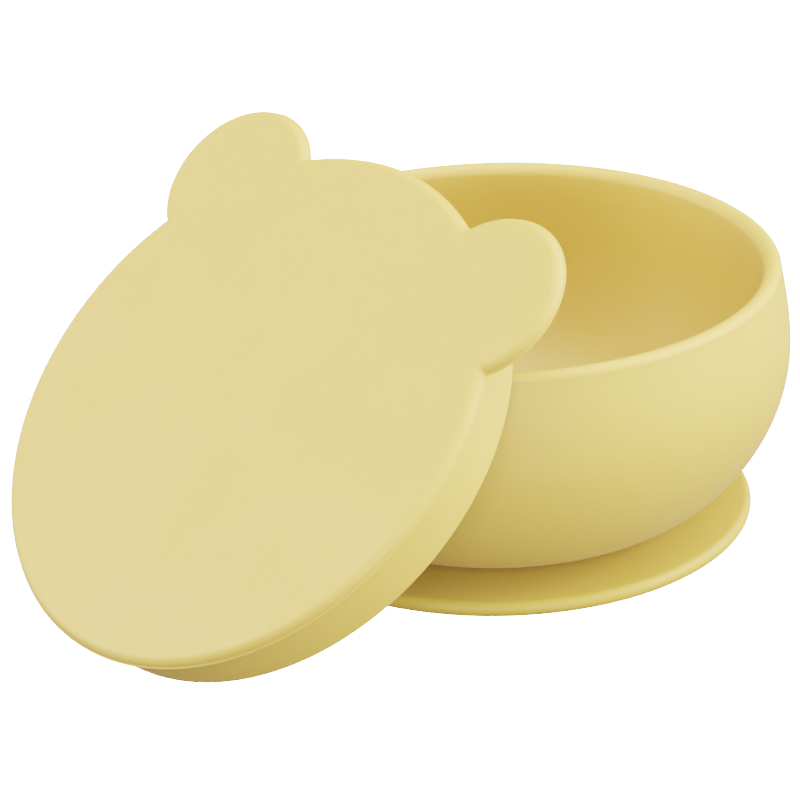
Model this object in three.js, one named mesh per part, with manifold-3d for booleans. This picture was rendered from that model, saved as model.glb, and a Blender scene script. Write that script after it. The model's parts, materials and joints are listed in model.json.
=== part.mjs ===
// Baby suction bowl with a press-in lid, three silicone mouldings:
//   suction_base  flat suction disc with a stem that plugs into the bowl's foot
//   bowl          round-sided bowl, narrower at the rim than at the belly
//   lid           drop-in lid with two ear-shaped lifting tabs, leaning on the bowl's rim
// Millimetres, +Z up. The table is z = 0. The lid leans on the bowl from -X.
import * as THREE from 'three';
import Module from 'manifold-3d';
import { mergeVertices } from 'three/addons/utils/BufferGeometryUtils.js';

// ---- fineness -------------------------------------------------------------------------
const ROUND_SEGMENTS = 64; // facets around the big rounds
const EAR_SEGMENTS = 40; // facets around one ear
const FILLET_STEPS = 4; // facets over a quarter-round edge

// ---- bowl -----------------------------------------------------------------------------
const BOWL_BELLY_R = 60; // widest radius, 120 mm across
const BOWL_BELLY_Z = 37.5; // height of the widest ring
const BOWL_RIM_OUTER_R = 58.2;
const BOWL_RIM_INNER_R = 54.4;
const BOWL_TOP_Z = 55.2;
const RIM_OUTER_ROUND = 1.7; // edge rounding outside and inside the rim
const RIM_INNER_ROUND = 2.1;
const BOWL_UNDERSIDE_Z = 4.2; // flat underside that floats over the suction disc
const BOWL_UNDERSIDE_R = 34;
const BOWL_WALL = 3.8;
const BOWL_FLOOR_Z = 10; // the inside floor that the food lies on
const BOWL_FLOOR_R = 33;
// Handles of the wall's curves, as fractions of the distance that each curve covers.
const FOOT_HANDLE = 0.474; // outwards from the underside
const BELLY_HANDLE_DOWN = 0.516; // straight down from the belly
const BELLY_HANDLE_UP = 0.42; // straight up from the belly
const RIM_HANDLE = 0.3; // down from the rim
const INNER_BELLY_HANDLE_DOWN = 0.55;
const FLOOR_HANDLE = 0.52; // outwards from the inside floor
const RIM_FLARE_OUTSIDE = 0.7; // outward lean of the rim's handles, mm
const RIM_FLARE_INSIDE = 0.5;
const WALL_STEPS = 10; // facets along the lower wall
const CROWN_STEPS = 6; // facets between belly and rim

// ---- stem joint between the bowl's foot and the suction base ---------------------------
const FIT_GAP = 0.3;
const STEM_R = 13;
const STEM_BEAD_R = 14.6; // retaining bead that snaps into the foot's groove
const STEM_BEAD_LOW_Z = 5.7;
const STEM_BEAD_HIGH_Z = 7.0;
const STEM_TOP_Z = 7.9;
const STEM_BEAD_BEVEL = 0.2; // slope on top of the bead, and in the groove above it

// ---- suction base ---------------------------------------------------------------------
const BASE_R = 52; // disc radius, 104 mm across
const BASE_BEAD = 1.6; // half thickness of the rounded outer bead
const BASE_WEB_TOP_Z = 2.95; // upper face of the thin web between bead and stem
const BASE_STEM_TOP_Z = 3.1; // upper face of the web beside the stem
const BASE_STEM_WEB_R = 20;
const SEAL_INNER_R = 45; // flat sealing ring that touches the table
const SEAL_OUTER_R = 50.2;
const DOME_Z = 1.2; // height of the hollow under the disc
const DOME_EDGE_R = 40;
const DOME_RUN_OUT = 0.3; // how much of the dome's height is left at its edge
const BEAD_RUN_IN = 6; // how far the bead's inner slope reaches on to the web

// ---- lid ------------------------------------------------------------------------------
const LID_R = 56.2; // flange radius, rests on the bowl's rim when closed
const LID_THICK = 2.2;
const LID_EDGE_LAND = 0.3; // upright part of the edge below its rounding
const SKIRT_ROOT_R = 53.7; // plug skirt that drops inside the bowl's mouth
const SKIRT_TIP_R = 53.5;
const SKIRT_WALL = 2;
const SKIRT_DEPTH = 12.2;
const SKIRT_TIP_ROUND = 0.5;
const EAR_R = 17.5;
const EAR_CENTRE_R = 55; // distance of each ear's centre from the lid's axis
const EAR_HALF_ANGLE = 43.9; // degrees either side of the lid's middle line

// ---- how the lid leans ------------------------------------------------------------------
const LEAN_ANGLE = 42.7; // degrees between the lid and the table
const LID_SPIN = -2.1; // degrees that the ears are turned from straight up the slope
const LID_CENTRE = new THREE.Vector3(-68.5, -2.2, 45.2); // from the bowl's axis

const SILICONE = { roughness: 0.62, metalness: 0 };
const BOWL_COLOUR = 0xe0cf90;
const BASE_COLOUR = 0xdccb88;
const LID_COLOUR = 0xe4d6a0;

const point = (r, z) => new THREE.Vector2(r, z);

/** Quarter turn of a circle about (r, z), from one angle to another, in degrees. */
function arc(r, z, radius, fromDeg, toDeg, steps = FILLET_STEPS) {
  const points = [];
  for (let i = 0; i <= steps; i += 1) {
    const a = THREE.MathUtils.degToRad(fromDeg + ((toDeg - fromDeg) * i) / steps);
    points.push(point(r + radius * Math.cos(a), z + radius * Math.sin(a)));
  }
  return points;
}

/** Cubic curve between two profile points with the given handles. */
function sweep(start, startHandle, endHandle, end, steps) {
  return new THREE.CubicBezierCurve(start, startHandle, endHandle, end).getPoints(steps);
}

/** Solid of revolution about +Z from an (r, z) profile that starts and ends on the axis. */
function turn(profile, segments = ROUND_SEGMENTS) {
  const clean = profile.filter((p, i) => i === 0 || p.distanceTo(profile[i - 1]) > 1e-4);
  const geometry = new THREE.LatheGeometry(clean, segments);
  geometry.rotateX(Math.PI / 2);
  return geometry;
}

function bowlProfile() {
  const underside = point(BOWL_UNDERSIDE_R, BOWL_UNDERSIDE_Z);
  const belly = point(BOWL_BELLY_R, BOWL_BELLY_Z);
  const rimOut = point(BOWL_RIM_OUTER_R, BOWL_TOP_Z - RIM_OUTER_ROUND);
  const reach = BOWL_BELLY_R - BOWL_UNDERSIDE_R;
  const rise = BOWL_BELLY_Z - BOWL_UNDERSIDE_Z;
  const crown = rimOut.y - BOWL_BELLY_Z;
  const lowerWall = sweep(
    underside,
    point(BOWL_UNDERSIDE_R + FOOT_HANDLE * reach, BOWL_UNDERSIDE_Z),
    point(BOWL_BELLY_R, BOWL_BELLY_Z - BELLY_HANDLE_DOWN * rise),
    belly,
    WALL_STEPS,
  );
  const upperWall = sweep(
    belly,
    point(BOWL_BELLY_R, BOWL_BELLY_Z + BELLY_HANDLE_UP * crown),
    point(BOWL_RIM_OUTER_R + RIM_FLARE_OUTSIDE, rimOut.y - RIM_HANDLE * crown),
    rimOut,
    CROWN_STEPS,
  );
  const rim = [
    ...arc(BOWL_RIM_OUTER_R - RIM_OUTER_ROUND, rimOut.y, RIM_OUTER_ROUND, 0, 90),
    ...arc(BOWL_RIM_INNER_R + RIM_INNER_ROUND, BOWL_TOP_Z - RIM_INNER_ROUND, RIM_INNER_ROUND, 90, 180),
  ];
  const innerBelly = point(BOWL_BELLY_R - BOWL_WALL, BOWL_BELLY_Z);
  const innerRim = point(BOWL_RIM_INNER_R, BOWL_TOP_Z - RIM_INNER_ROUND);
  const floorEdge = point(BOWL_FLOOR_R, BOWL_FLOOR_Z);
  const innerRise = innerBelly.y - BOWL_FLOOR_Z;
  const innerReach = innerBelly.x - BOWL_FLOOR_R;
  const inside = [
    ...sweep(
      innerRim,
      point(BOWL_RIM_INNER_R + RIM_FLARE_INSIDE, innerRim.y - RIM_HANDLE * crown),
      point(innerBelly.x, innerBelly.y + BELLY_HANDLE_UP * crown),
      innerBelly,
      CROWN_STEPS,
    ),
    ...sweep(
      innerBelly,
      point(innerBelly.x, innerBelly.y - INNER_BELLY_HANDLE_DOWN * innerRise),
      point(BOWL_FLOOR_R + FLOOR_HANDLE * innerReach, BOWL_FLOOR_Z),
      floorEdge,
      WALL_STEPS,
    ),
    point(0, BOWL_FLOOR_Z),
  ];
  const grooveR = STEM_BEAD_R + FIT_GAP;
  const socketR = STEM_R + FIT_GAP;
  const socket = [
    point(0, STEM_TOP_Z + FIT_GAP),
    point(socketR, STEM_TOP_Z + FIT_GAP),
    point(socketR, STEM_BEAD_HIGH_Z + FIT_GAP + STEM_BEAD_BEVEL),
    point(grooveR, STEM_BEAD_HIGH_Z + FIT_GAP),
    point(grooveR, STEM_BEAD_LOW_Z - FIT_GAP),
    point(socketR, STEM_BEAD_LOW_Z - FIT_GAP),
    point(socketR, BOWL_UNDERSIDE_Z),
  ];
  return [...socket, ...lowerWall, ...upperWall, ...rim, ...inside];
}

function baseProfile() {
  const bead = point(BASE_R - BASE_BEAD, BASE_BEAD);
  return [
    point(0, DOME_Z),
    ...sweep(
      point(BASE_STEM_WEB_R, DOME_Z),
      point(0.5 * (BASE_STEM_WEB_R + DOME_EDGE_R), DOME_Z),
      point(DOME_EDGE_R, DOME_RUN_OUT * DOME_Z),
      point(SEAL_INNER_R, 0),
      5,
    ),
    point(SEAL_OUTER_R, 0),
    ...arc(bead.x, bead.y, BASE_BEAD, -84, 90, 8),
    ...sweep(
      point(bead.x, 2 * BASE_BEAD),
      point(bead.x - 0.8 * BEAD_RUN_IN, 2 * BASE_BEAD),
      point(bead.x - BEAD_RUN_IN, BASE_WEB_TOP_Z),
      point(DOME_EDGE_R, BASE_WEB_TOP_Z),
      5,
    ),
    point(BASE_STEM_WEB_R, BASE_STEM_TOP_Z),
    point(STEM_R, BASE_STEM_TOP_Z),
    point(STEM_R, STEM_BEAD_LOW_Z),
    point(STEM_BEAD_R, STEM_BEAD_LOW_Z),
    point(STEM_BEAD_R, STEM_BEAD_HIGH_Z),
    point(STEM_R, STEM_BEAD_HIGH_Z + STEM_BEAD_BEVEL),
    point(STEM_R, STEM_TOP_Z),
    point(0, STEM_TOP_Z),
  ];
}

/** Flat round plate on z = 0 with a sharp lower edge and a rounded-over upper edge. */
function roundedPlate(radius, segments) {
  const round = LID_THICK - LID_EDGE_LAND;
  return turn(
    [
      point(0, 0),
      point(radius, 0),
      ...arc(radius - round, LID_EDGE_LAND, round, 0, 90),
      point(0, LID_THICK),
    ],
    segments,
  );
}

/** The lid's plug skirt, hanging from half way up the plate. */
function skirtRing() {
  const tip = -SKIRT_DEPTH + SKIRT_TIP_ROUND;
  const inner = SKIRT_TIP_R - SKIRT_WALL;
  const profile = [
    point(SKIRT_ROOT_R - SKIRT_WALL, LID_THICK / 2),
    point(inner, tip),
    ...arc(inner + SKIRT_TIP_ROUND, tip, SKIRT_TIP_ROUND, 180, 270, 2),
    ...arc(SKIRT_TIP_R - SKIRT_TIP_ROUND, tip, SKIRT_TIP_ROUND, 270, 360, 2),
    point(SKIRT_ROOT_R, LID_THICK / 2),
    point(SKIRT_ROOT_R - SKIRT_WALL, LID_THICK / 2),
  ];
  return turn(profile);
}

function toManifold(wasm, geometry) {
  const bare = geometry.clone();
  bare.deleteAttribute('normal');
  bare.deleteAttribute('uv');
  const merged = mergeVertices(bare, 1e-4);
  const mesh = new wasm.Mesh({
    numProp: 3,
    vertProperties: new Float32Array(merged.attributes.position.array),
    triVerts: new Uint32Array(merged.index.array),
  });
  mesh.merge();
  return new wasm.Manifold(mesh);
}

function fromManifold(solid) {
  const mesh = solid.getMesh();
  const geometry = new THREE.BufferGeometry();
  geometry.setAttribute('position', new THREE.Float32BufferAttribute(mesh.vertProperties, 3));
  geometry.setIndex(Array.from(mesh.triVerts));
  return geometry;
}

function lidGeometry(wasm) {
  let solid = toManifold(wasm, roundedPlate(LID_R, ROUND_SEGMENTS));
  for (const side of [-1, 1]) {
    const angle = THREE.MathUtils.degToRad(side * EAR_HALF_ANGLE);
    const ear = roundedPlate(EAR_R, EAR_SEGMENTS);
    ear.translate(EAR_CENTRE_R * Math.cos(angle), EAR_CENTRE_R * Math.sin(angle), 0);
    solid = solid.add(toManifold(wasm, ear));
  }
  return fromManifold(solid.add(toManifold(wasm, skirtRing())));
}

function moulding(name, geometry, colour) {
  const mesh = new THREE.Mesh(
    geometry,
    new THREE.MeshStandardMaterial({ color: colour, ...SILICONE }),
  );
  mesh.name = name;
  return mesh;
}

const wasm = await Module();
wasm.setup();

const suctionBase = moulding('suction_base', turn(baseProfile()), BASE_COLOUR);
const bowl = moulding('bowl', turn(bowlProfile()), BOWL_COLOUR);
const lid = moulding('lid', lidGeometry(wasm), LID_COLOUR);
lid.position.copy(LID_CENTRE);
lid.rotation.set(0, -THREE.MathUtils.degToRad(LEAN_ANGLE), THREE.MathUtils.degToRad(LID_SPIN));

// The origin is on the table, under the middle of the whole arrangement.
const suctionBowl = new THREE.Group();
suctionBowl.add(suctionBase, bowl, lid);
const extent = new THREE.Box3().setFromObject(suctionBowl, true);
const middle = extent.getCenter(new THREE.Vector3());
suctionBowl.position.set(-middle.x, -middle.y, 0);
suctionBowl.updateMatrixWorld(true);

export default suctionBowl;
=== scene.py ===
"""Looks for the suction bowl: three matte silicone mouldings built as fine meshes round the CAD frame.

bowl           round-sided bowl, turned from one profile
suction_base   thin disc with a beaded edge, a shallow dome under it and a stem into the bowl's foot
lid            flat plate with two ear tabs, rounded over to a thin lip, with a plug skirt under it
"""
import json
import math

import bpy
from mathutils import Euler, Matrix, Vector


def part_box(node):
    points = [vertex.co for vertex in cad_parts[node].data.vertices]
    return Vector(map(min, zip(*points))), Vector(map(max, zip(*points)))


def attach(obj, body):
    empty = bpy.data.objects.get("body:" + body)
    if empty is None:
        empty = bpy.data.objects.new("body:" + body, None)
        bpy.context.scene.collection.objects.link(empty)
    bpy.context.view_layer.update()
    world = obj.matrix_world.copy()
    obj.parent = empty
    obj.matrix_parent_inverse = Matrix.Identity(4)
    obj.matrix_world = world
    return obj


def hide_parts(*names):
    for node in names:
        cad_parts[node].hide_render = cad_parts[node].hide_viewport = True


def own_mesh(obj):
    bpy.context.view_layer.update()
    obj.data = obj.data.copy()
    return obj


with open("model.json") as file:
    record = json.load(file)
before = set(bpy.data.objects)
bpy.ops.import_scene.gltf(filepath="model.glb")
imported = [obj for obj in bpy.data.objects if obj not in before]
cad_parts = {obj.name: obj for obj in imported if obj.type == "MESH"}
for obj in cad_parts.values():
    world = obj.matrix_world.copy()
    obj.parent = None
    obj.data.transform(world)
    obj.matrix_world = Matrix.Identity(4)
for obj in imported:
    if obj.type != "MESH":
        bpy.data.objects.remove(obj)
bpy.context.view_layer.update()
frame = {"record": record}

MM = 0.001

# ---- bowl, mm from its own axis and the table -------------------------------------------
BELLY_R, BELLY_Z = 60.0, 37.5
RIM_OUTER_R, RIM_INNER_R, TOP_Z = 58.2, 54.4, 55.2
RIM_OUTER_ROUND, RIM_INNER_ROUND = 1.7, 2.1
UNDERSIDE_R, UNDERSIDE_Z = 34.0, 4.2
WALL = 3.8
FLOOR_R, FLOOR_Z = 33.0, 10.0
SOCKET_R, GROOVE_R = 13.3, 14.9
SOCKET_TOP_Z, GROOVE_LOW_Z, GROOVE_HIGH_Z = 8.2, 5.4, 7.3

# ---- suction base, mm ------------------------------------------------------------------
BASE_R, BEAD, BEAD_RUN_IN = 52.0, 1.6, 6.0
BEAD_FLAT = 0.8  # how much of the run-in stays level with the bead, as a curve handle
WEB_TOP_Z, STEM_WEB_TOP_Z = 2.95, 3.1
STEM_R, STEM_BEAD_R, STEM_TOP_Z = 13.0, 14.6, 7.9
STEM_BEAD_LOW_Z, STEM_BEAD_HIGH_Z = 5.7, 7.0
SEAL_INNER_R, SEAL_OUTER_R = 45.0, 50.2
DOME_Z, DOME_EDGE_R, STEM_WEB_R = 1.2, 40.0, 20.0

# ---- lid, mm in its own frame: plate underside at z = 0, ears towards +x -------------------
LID_R, LID_THICK = 56.2, 2.2
LIP_WIDTH, LIP_HEIGHT = 0.3, 0.36
EDGE_ROUND = 1.75
SKIRT_ROOT_R, SKIRT_TIP_R, SKIRT_WALL, SKIRT_DEPTH = 53.7, 53.5, 2.0, 12.2
CUP_ROUND, TIP_ROUND, ROOT_ROUND = 1.0, 0.7, 0.6  # inside corner, skirt tip, under the plate
LIP_SOFT = 0.08  # bevel on the lip's edges
EAR_R, EAR_CENTRE_R, EAR_ANGLE = 17.5, 55.0, math.radians(43.9)
LID_SPIN = math.radians(-2.1)  # how far the ears are turned from straight up the slope

# ---- curve handles, as fractions of the reach or rise they bend over ------------------------
FOOT_HANDLE, BELLY_HANDLE = 0.474, 0.516
CROWN_HANDLE, NECK_HANDLE = 0.42, 0.3
NECK_OUT, NECK_IN = 0.7, 0.5  # mm that the wall flares just under the rim, outside and inside
INNER_BELLY_HANDLE, INNER_FLOOR_HANDLE = 0.55, 0.52

# ---- mesh fineness --------------------------------------------------------------------
AROUND = 288  # faces round the bowl and the base
EAR_STEPS, TOP_STEPS, LONG_STEPS = 96, 64, 288  # round an ear, between the ears, and the rest
LOWER_STEPS, UPPER_STEPS, DOME_STEPS = 40, 20, 20
UNDER_LID_SCALES = (0.2, 0.4, 0.6, 0.8, 0.92)
TOP_FACE_SCALES = (0.985, 0.96, 0.9, 0.8, 0.7, 0.6, 0.5, 0.4, 0.3, 0.2, 0.1)

# ---- studio ----------------------------------------------------------------------------
FLOOR_GREY = 0.08  # how much light the floor throws back up, low because it darkens the shade
WHITE_GLOW = 16.0  # how bright the paper and the room behind it look to the camera
SOFT_BOX_SIZE = 0.9
EXPOSURE = 1.0
CAMERA_FROM_BOWL = (-0.519624, -0.57448, 0.37157)  # metres from the bowl's axis and the table
CAMERA_DOWN, CAMERA_TURN, CAMERA_ROLL = 24.11, -40.61, -2.0  # degrees
CAMERA_LENS, CAMERA_SENSOR = 184.5, 36.0  # mm


# ---- profiles -------------------------------------------------------------------------
def arc(r, z, radius, start, end, steps=8):
    """Points on a circle about (r, z) from angle start to end, in degrees."""
    turns = [math.radians(start + (end - start) * i / steps) for i in range(steps + 1)]
    return [(r + radius * math.cos(a), z + radius * math.sin(a)) for a in turns]


def cubic(p0, p1, p2, p3, steps=24):
    """Points on a cubic Bezier curve."""
    points = []
    for i in range(steps + 1):
        t = i / steps
        k = ((1 - t) ** 3, 3 * (1 - t) ** 2 * t, 3 * (1 - t) * t * t, t ** 3)
        points.append(tuple(sum(w * p[j] for w, p in zip(k, (p0, p1, p2, p3))) for j in (0, 1)))
    return points


def line(p0, p1, steps):
    """Evenly spaced points from p0 to p1."""
    return [tuple(a + (b - a) * i / steps for a, b in zip(p0, p1)) for i in range(steps + 1)]


def bowl_profile():
    reach, rise = BELLY_R - UNDERSIDE_R, BELLY_Z - UNDERSIDE_Z
    out_z = TOP_Z - RIM_OUTER_ROUND
    in_z = TOP_Z - RIM_INNER_ROUND
    crown = out_z - BELLY_Z
    inner_r = BELLY_R - WALL
    socket = [
        (0.0, SOCKET_TOP_Z),
        (SOCKET_R - 0.3, SOCKET_TOP_Z),
        (SOCKET_R, SOCKET_TOP_Z - 0.3),
        (SOCKET_R, GROOVE_HIGH_Z + 0.2),
        (GROOVE_R, GROOVE_HIGH_Z),
        (GROOVE_R, GROOVE_LOW_Z),
        (SOCKET_R, GROOVE_LOW_Z),
        (SOCKET_R, UNDERSIDE_Z + 0.3),
        (SOCKET_R + 0.3, UNDERSIDE_Z),
    ]
    flat = line((SOCKET_R + 1.0, UNDERSIDE_Z), (UNDERSIDE_R, UNDERSIDE_Z), 6)
    lower = cubic(
        (UNDERSIDE_R, UNDERSIDE_Z),
        (UNDERSIDE_R + FOOT_HANDLE * reach, UNDERSIDE_Z),
        (BELLY_R, BELLY_Z - BELLY_HANDLE * rise),
        (BELLY_R, BELLY_Z),
        LOWER_STEPS,
    )
    upper = cubic(
        (BELLY_R, BELLY_Z),
        (BELLY_R, BELLY_Z + CROWN_HANDLE * crown),
        (RIM_OUTER_R + NECK_OUT, out_z - NECK_HANDLE * crown),
        (RIM_OUTER_R, out_z),
        UPPER_STEPS,
    )
    rim = arc(RIM_OUTER_R - RIM_OUTER_ROUND, out_z, RIM_OUTER_ROUND, 0, 90, 10) + arc(
        RIM_INNER_R + RIM_INNER_ROUND, in_z, RIM_INNER_ROUND, 90, 180, 8
    )
    inner_upper = cubic(
        (RIM_INNER_R, in_z),
        (RIM_INNER_R + NECK_IN, in_z - NECK_HANDLE * crown),
        (inner_r, BELLY_Z + CROWN_HANDLE * crown),
        (inner_r, BELLY_Z),
        UPPER_STEPS,
    )
    inner_lower = cubic(
        (inner_r, BELLY_Z),
        (inner_r, BELLY_Z - INNER_BELLY_HANDLE * (BELLY_Z - FLOOR_Z)),
        (FLOOR_R + INNER_FLOOR_HANDLE * (inner_r - FLOOR_R), FLOOR_Z),
        (FLOOR_R, FLOOR_Z),
        LOWER_STEPS,
    )
    floor = line((FLOOR_R, FLOOR_Z), (0.0, FLOOR_Z), 10)
    return socket + flat + lower + upper + rim + inner_upper + inner_lower + floor


def base_profile():
    bead_r = BASE_R - BEAD
    dome = cubic(
        (STEM_WEB_R, DOME_Z),
        (0.5 * (STEM_WEB_R + DOME_EDGE_R), DOME_Z),
        (DOME_EDGE_R, 0.3 * DOME_Z),
        (SEAL_INNER_R, 0.0),
        DOME_STEPS,
    )
    web = cubic(
        (bead_r, 2 * BEAD),
        (bead_r - BEAD_FLAT * BEAD_RUN_IN, 2 * BEAD),
        (bead_r - BEAD_RUN_IN, WEB_TOP_Z),
        (DOME_EDGE_R, WEB_TOP_Z),
        DOME_STEPS,
    )
    return (
        line((0.0, DOME_Z), (STEM_WEB_R, DOME_Z), 4)
        + dome
        + [(SEAL_OUTER_R, 0.0)]
        + arc(bead_r, BEAD, BEAD, -84, 90, 20)
        + web
        + line((DOME_EDGE_R - 2, WEB_TOP_Z + 0.02), (STEM_WEB_R, STEM_WEB_TOP_Z), 6)
        + [
            (STEM_R + 0.6, STEM_WEB_TOP_Z),
            (STEM_R + 0.18, STEM_WEB_TOP_Z + 0.18),
            (STEM_R, STEM_WEB_TOP_Z + 0.6),
            (STEM_R, STEM_BEAD_LOW_Z),
            (STEM_BEAD_R - 0.2, STEM_BEAD_LOW_Z),
            (STEM_BEAD_R, STEM_BEAD_LOW_Z + 0.2),
            (STEM_BEAD_R, STEM_BEAD_HIGH_Z - 0.2),
            (STEM_R, STEM_BEAD_HIGH_Z + 0.2),
            (STEM_R, STEM_TOP_Z - 0.3),
            (STEM_R - 0.3, STEM_TOP_Z),
            (0.0, STEM_TOP_Z),
        ]
    )


# ---- meshes ----------------------------------------------------------------------------
def mesh_object(name, verts, faces):
    mesh = bpy.data.meshes.new(name)
    mesh.from_pydata([Vector(v) * MM for v in verts], [], faces)
    mesh.validate()
    mesh.shade_smooth()
    obj = bpy.data.objects.new(name, mesh)
    bpy.context.scene.collection.objects.link(obj)
    return obj


def skin(rings, first_pole=None, last_pole=None):
    """Quads between rings of equal length, closed by a fan on each pole point."""
    verts = [v for ring in rings for v in ring]
    n = len(rings[0])
    faces = []
    for k in range(len(rings) - 1):
        a, b = k * n, (k + 1) * n
        for i in range(n):
            j = (i + 1) % n
            faces.append((a + i, a + j, b + j, b + i))
    if first_pole is not None:
        verts.append(first_pole)
        pole = len(verts) - 1
        faces += [((i + 1) % n, i, pole) for i in range(n)]
    if last_pole is not None:
        verts.append(last_pole)
        pole = len(verts) - 1
        base = (len(rings) - 1) * n
        faces += [(base + i, base + (i + 1) % n, pole) for i in range(n)]
    return verts, faces


def turned(name, profile):
    """Solid of revolution about +Z from a profile that starts and ends on the axis."""
    clean = [profile[0]]
    for p in profile[1:]:
        if math.dist(p, clean[-1]) > 1e-3:
            clean.append(p)
    angles = [2 * math.pi * i / AROUND for i in range(AROUND)]
    rings = [[(r * math.cos(a), r * math.sin(a), z) for a in angles] for r, z in clean[1:-1]]
    first, last = (0.0, 0.0, clean[0][1]), (0.0, 0.0, clean[-1][1])
    return mesh_object(name, *skin(rings, first, last))


def lid_outline(inset):
    """The plate and ears drawn in by inset: points anticlockwise, starting at the first ear."""
    plate, ear = LID_R - inset, EAR_R - inset
    d = EAR_CENTRE_R
    on_plate = math.acos((plate ** 2 + d ** 2 - ear ** 2) / (2 * plate * d))
    on_ear = math.pi - math.acos((ear ** 2 + d ** 2 - plate ** 2) / (2 * ear * d))
    points = []

    def ear_arc(angle):
        cx, cy = d * math.cos(angle), d * math.sin(angle)
        for i in range(EAR_STEPS):
            a = angle - on_ear + 2 * on_ear * i / EAR_STEPS
            points.append((cx + ear * math.cos(a), cy + ear * math.sin(a)))

    def plate_arc(start, end, steps):
        for i in range(steps):
            a = start + (end - start) * i / steps
            points.append((plate * math.cos(a), plate * math.sin(a)))

    ear_arc(-EAR_ANGLE)
    plate_arc(-EAR_ANGLE + on_plate, EAR_ANGLE - on_plate, TOP_STEPS)
    ear_arc(EAR_ANGLE)
    plate_arc(EAR_ANGLE + on_plate, 2 * math.pi - EAR_ANGLE - on_plate, LONG_STEPS)
    return points


def lid_mesh(name):
    outer = lid_outline(0.0)
    angles = [math.atan2(y, x) for x, y in outer]

    def circle(r, z):
        return [(r * math.cos(a), r * math.sin(a), z) for a in angles]

    def ring(inset, z):
        return [(x, y, z) for x, y in lid_outline(inset)]

    def shrunk(points, k, z):
        return [(x * k, y * k, z) for x, y in points]

    rings = []
    # Inside of the cup first, then the skirt, the lip and the top face.
    inner_root, inner_tip = SKIRT_ROOT_R - SKIRT_WALL, SKIRT_TIP_R - SKIRT_WALL
    for k in UNDER_LID_SCALES:
        rings.append(circle((inner_root - CUP_ROUND) * k, 0.0))
    for r, z in arc(inner_root - CUP_ROUND, -CUP_ROUND, CUP_ROUND, 90, 0, 6):
        rings.append(circle(r, z))
    tip = -SKIRT_DEPTH
    for r, z in line((inner_root, -1.5), (inner_tip, tip + 0.9), 6):
        rings.append(circle(r, z))
    for r, z in arc(inner_tip + TIP_ROUND, tip + TIP_ROUND, TIP_ROUND, 180, 270, 6):
        rings.append(circle(r, z))
    for r, z in arc(SKIRT_TIP_R - TIP_ROUND, tip + TIP_ROUND, TIP_ROUND, 270, 360, 6):
        rings.append(circle(r, z))
    for r, z in line((SKIRT_TIP_R, tip + 0.9), (SKIRT_ROOT_R, -0.8), 6):
        rings.append(circle(r, z))
    for r, z in arc(SKIRT_ROOT_R + ROOT_ROUND, -ROOT_ROUND, ROOT_ROUND, 180, 90, 5):
        rings.append(circle(r, z))
    rings.append(ring(0.5, 0.0))
    rings.append(ring(LIP_SOFT, 0.0))
    rings.append(ring(0.0, LIP_SOFT))
    rings.append(ring(0.0, LIP_HEIGHT - 0.1))
    rings.append(ring(LIP_SOFT, LIP_HEIGHT))
    rings.append(ring(LIP_WIDTH - LIP_SOFT, LIP_HEIGHT + 0.01))
    rings.append(ring(LIP_WIDTH, LIP_HEIGHT + 0.1))
    centre = LIP_WIDTH + EDGE_ROUND
    for x, z in arc(-centre, LID_THICK - EDGE_ROUND, EDGE_ROUND, 0, 90, 12)[1:]:
        rings.append(ring(-x, z))
    top = lid_outline(centre)
    for k in TOP_FACE_SCALES:
        rings.append(shrunk(top, k, LID_THICK))
    verts, faces = skin(rings, (0.0, 0.0, 0.0), (0.0, 0.0, LID_THICK))
    return mesh_object(name, verts, faces)


# ---- material --------------------------------------------------------------------------
YELLOW = (0.50, 0.307, 0.052)
SHADED_DISC_YELLOW = (0.41, 0.255, 0.030)  # a darker copy of the yellow silicone: painted shade for the disc, which lies in shade under the bowl
DEEPER = (0.97, 0.96, 0.88)  # how the silicone's faint cloudiness tints it
CLOUD_SCALE, FLECK_SCALE, SATIN_SCALE = 28.0, 1500.0, 60.0
GRAIN_SCALE, GRAIN_STRENGTH, GRAIN_HEIGHT = 2600.0, 0.10, 0.00012
PEEL_SCALE, PEEL_STRENGTH, PEEL_HEIGHT = 220.0, 0.06, 0.0006
ROUGH_LOW, ROUGH_HIGH = 0.52, 0.64
SILICONE_IOR = 1.41
GLOW_THROUGH, GLOW_DEPTH, GLOW_COLOUR = 0.12, 0.003, (1.0, 0.75, 0.25)
BLOOM, BLOOM_ROUGH, BLOOM_TINT = 0.04, 0.45, (1.0, 0.98, 0.93, 1.0)


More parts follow.
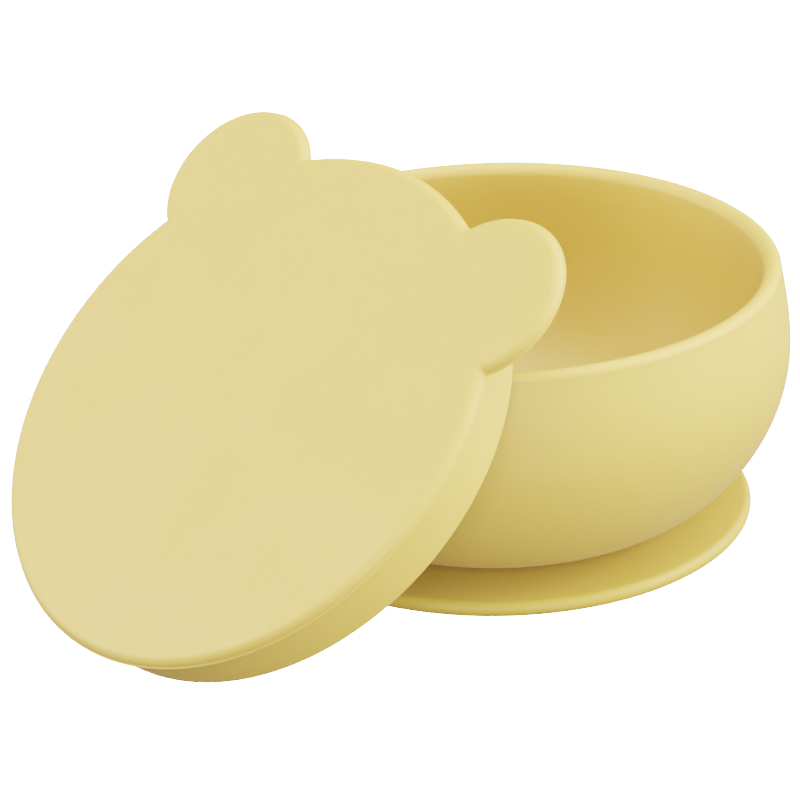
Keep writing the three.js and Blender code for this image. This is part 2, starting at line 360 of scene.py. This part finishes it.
def silicone(name, base, seed):
    """Matte food-grade silicone: faint cloudiness, a satin skin and a powdery bloom."""
    mat = bpy.data.materials.new(name)
    mat.use_nodes = True
    nodes, links = mat.node_tree.nodes, mat.node_tree.links
    shader = nodes["Principled BSDF"]
    coords = nodes.new("ShaderNodeTexCoord")

    def noise(scale, detail, offset):
        place = nodes.new("ShaderNodeMapping")
        place.inputs["Location"].default_value = (seed + offset, seed - offset, offset)
        links.new(coords.outputs["Object"], place.inputs["Vector"])
        tex = nodes.new("ShaderNodeTexNoise")
        tex.inputs["Scale"].default_value = scale
        tex.inputs["Detail"].default_value = detail
        links.new(place.outputs["Vector"], tex.inputs["Vector"])
        return tex.outputs["Fac"]

    def ramp(value, low, high, out_low, out_high):
        node = nodes.new("ShaderNodeMapRange")
        for key, v in (("From Min", low), ("From Max", high), ("To Min", out_low), ("To Max", out_high)):
            node.inputs[key].default_value = v
        links.new(value, node.inputs["Value"])
        return node.outputs["Result"]

    cloud = noise(CLOUD_SCALE, 3.0, 0.0)
    fleck = noise(FLECK_SCALE, 2.0, 3.0)
    tint = nodes.new("ShaderNodeMix")
    tint.data_type = "RGBA"
    tint.inputs["A"].default_value = (*base, 1.0)
    tint.inputs["B"].default_value = (*[c * k for c, k in zip(base, DEEPER)], 1.0)
    links.new(ramp(cloud, 0.3, 0.7, 0.0, 0.35), tint.inputs["Factor"])
    speck = nodes.new("ShaderNodeMix")
    speck.data_type = "RGBA"
    speck.inputs["B"].default_value = (*[min(1.0, c * 1.06 + 0.01) for c in base], 1.0)
    links.new(tint.outputs["Result"], speck.inputs["A"])
    links.new(ramp(fleck, 0.56, 0.78, 0.0, 0.25), speck.inputs["Factor"])
    links.new(speck.outputs["Result"], shader.inputs["Base Color"])
    satin = ramp(noise(SATIN_SCALE, 4.0, 7.0), 0.3, 0.7, ROUGH_LOW, ROUGH_HIGH)
    links.new(satin, shader.inputs["Roughness"])

    grain = nodes.new("ShaderNodeBump")
    grain.inputs["Strength"].default_value = GRAIN_STRENGTH
    grain.inputs["Distance"].default_value = GRAIN_HEIGHT
    links.new(noise(GRAIN_SCALE, 3.0, 11.0), grain.inputs["Height"])
    peel = nodes.new("ShaderNodeBump")
    peel.inputs["Strength"].default_value = PEEL_STRENGTH
    peel.inputs["Distance"].default_value = PEEL_HEIGHT
    links.new(noise(PEEL_SCALE, 2.0, 13.0), peel.inputs["Height"])
    links.new(grain.outputs["Normal"], peel.inputs["Normal"])
    links.new(peel.outputs["Normal"], shader.inputs["Normal"])

    shader.inputs["IOR"].default_value = SILICONE_IOR
    shader.inputs["Subsurface Weight"].default_value = GLOW_THROUGH
    shader.inputs["Subsurface Radius"].default_value = GLOW_COLOUR
    shader.inputs["Subsurface Scale"].default_value = GLOW_DEPTH
    shader.inputs["Sheen Weight"].default_value = BLOOM
    shader.inputs["Sheen Roughness"].default_value = BLOOM_ROUGH
    shader.inputs["Sheen Tint"].default_value = BLOOM_TINT
    return mat


# ---- pieces ----------------------------------------------------------------------------
base_low, base_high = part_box("suction_base")
axis_x = 0.5 * (base_low[0] + base_high[0])
axis_y = 0.5 * (base_low[1] + base_high[1])
on_axis = Matrix.Translation((axis_x, axis_y, 0.0))

record = frame["record"]
mounts = {m["name"]: m for m in record["mounts"]}
lid_normal = Vector(mounts["lid_top"]["axis"]).normalized()
lid_up_slope = (Vector((0, 0, 1)) - lid_normal * lid_normal.z).normalized()
lid_across = lid_normal.cross(lid_up_slope)
lid_origin = Vector(mounts["lid_top"]["pos_m"]) - lid_normal * (LID_THICK * MM)
lean = Matrix((lid_up_slope, lid_across, lid_normal)).transposed().to_4x4()
lean = lean @ Matrix.Rotation(LID_SPIN, 4, "Z")

bowl = turned("bowl_skin", bowl_profile())
bowl.data.transform(on_axis)
suction_base = turned("suction_base_skin", base_profile())
suction_base.data.transform(on_axis)
lid = lid_mesh("lid_skin")
lid.data.transform(Matrix.Translation(lid_origin) @ lean)

for piece, node, slot, colour, seed in (
    (bowl, "bowl", "bowl_silicone", YELLOW, 1.7),
    # the suction base takes the darker yellow, painted shade for where it lies under the bowl
    (suction_base, "suction_base", "base_silicone", SHADED_DISC_YELLOW, 5.3),
    (lid, "lid", "lid_silicone", YELLOW, 9.1),
):
    piece.data.materials.append(silicone(node + "_skin", colour, seed))
    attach(piece, node)
    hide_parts(node)

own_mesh(suction_base)

# ---- floor, light, camera ----------------------------------------------------------------
scene = bpy.context.scene


def seen_white(tree, strength):
    """Make a strength socket glow for the camera only, so that it lights nothing."""
    glow = tree.nodes.new("ShaderNodeMath")
    glow.operation = "MULTIPLY"
    glow.inputs[1].default_value = WHITE_GLOW
    tree.links.new(tree.nodes.new("ShaderNodeLightPath").outputs["Is Camera Ray"], glow.inputs[0])
    tree.links.new(glow.outputs["Value"], strength)


def white_sweep(name):
    """Matt dark-grey paper that the camera sees as overlit white."""
    paper = bpy.data.materials.new(name)
    paper.use_nodes = True
    shader = paper.node_tree.nodes["Principled BSDF"]
    shader.inputs["Base Color"].default_value = (FLOOR_GREY, FLOOR_GREY, FLOOR_GREY, 1)
    shader.inputs["Roughness"].default_value = 0.9
    shader.inputs["Specular IOR Level"].default_value = 0.1
    shader.inputs["Emission Color"].default_value = (1, 1, 1, 1)
    seen_white(paper.node_tree, shader.inputs["Emission Strength"])
    return paper


bpy.ops.mesh.primitive_plane_add(size=12, location=(0, 0, 0))
floor = bpy.context.object
floor.name = "floor"
floor.data.materials.append(white_sweep("floor_paper"))

world = bpy.data.worlds.new("studio")
scene.world = world
world.use_nodes = True
background = world.node_tree.nodes["Background"]
background.inputs["Color"].default_value = (1, 1, 1, 1)
seen_white(world.node_tree, background.inputs["Strength"])


def soft_light(name, place, power):
    """Round soft box at a place, facing the bowl."""
    data = bpy.data.lights.new(name, "AREA")
    data.shape = "DISK"
    data.size = SOFT_BOX_SIZE
    data.energy = power
    light = bpy.data.objects.new(name, data)
    light.location = place
    light.rotation_euler = (AIM - Vector(place)).to_track_quat("-Z", "Y").to_euler()
    scene.collection.objects.link(light)


# Directions as the camera sees them, and one soft box in each, over and round the bowl.
AIM = Vector((axis_x, axis_y, 0.03))
RIGHT = Vector((0.749, -0.661, 0.0))
BACK = Vector((0.661, 0.749, 0.0))
UP = Vector((0.0, 0.0, 1.0))
soft_light("left", BACK * 0.1 - RIGHT * 1.1 + UP * 0.45, 14)
soft_light("right", RIGHT * 0.8 + UP * 0.9, 9)
soft_light("low right", RIGHT * 1.15 - BACK * 0.2 + UP * 0.42, 17)
soft_light("front", RIGHT * 0.1 - BACK * 1.15 + UP * 0.33, 14)
soft_light("top", UP * 1.2, 14)
soft_light("back right", RIGHT * 0.9 + BACK * 0.5 + UP * 0.55, 6)

camera = bpy.data.objects.new("camera", bpy.data.cameras.new("camera"))
camera.data.lens = CAMERA_LENS
camera.data.sensor_width = CAMERA_SENSOR
camera.data.clip_end = 50
look = Euler((math.radians(90 - CAMERA_DOWN), 0, math.radians(CAMERA_TURN))).to_matrix()
look = look @ Matrix.Rotation(math.radians(CAMERA_ROLL), 3, "Z")
camera_x, camera_y, camera_z = CAMERA_FROM_BOWL
place = Matrix.Translation((axis_x + camera_x, camera_y, camera_z))
camera.matrix_world = place @ look.to_4x4()
scene.collection.objects.link(camera)
scene.camera = camera

scene.view_settings.view_transform = "Filmic"
scene.view_settings.look = "None"
scene.view_settings.exposure = EXPOSURE
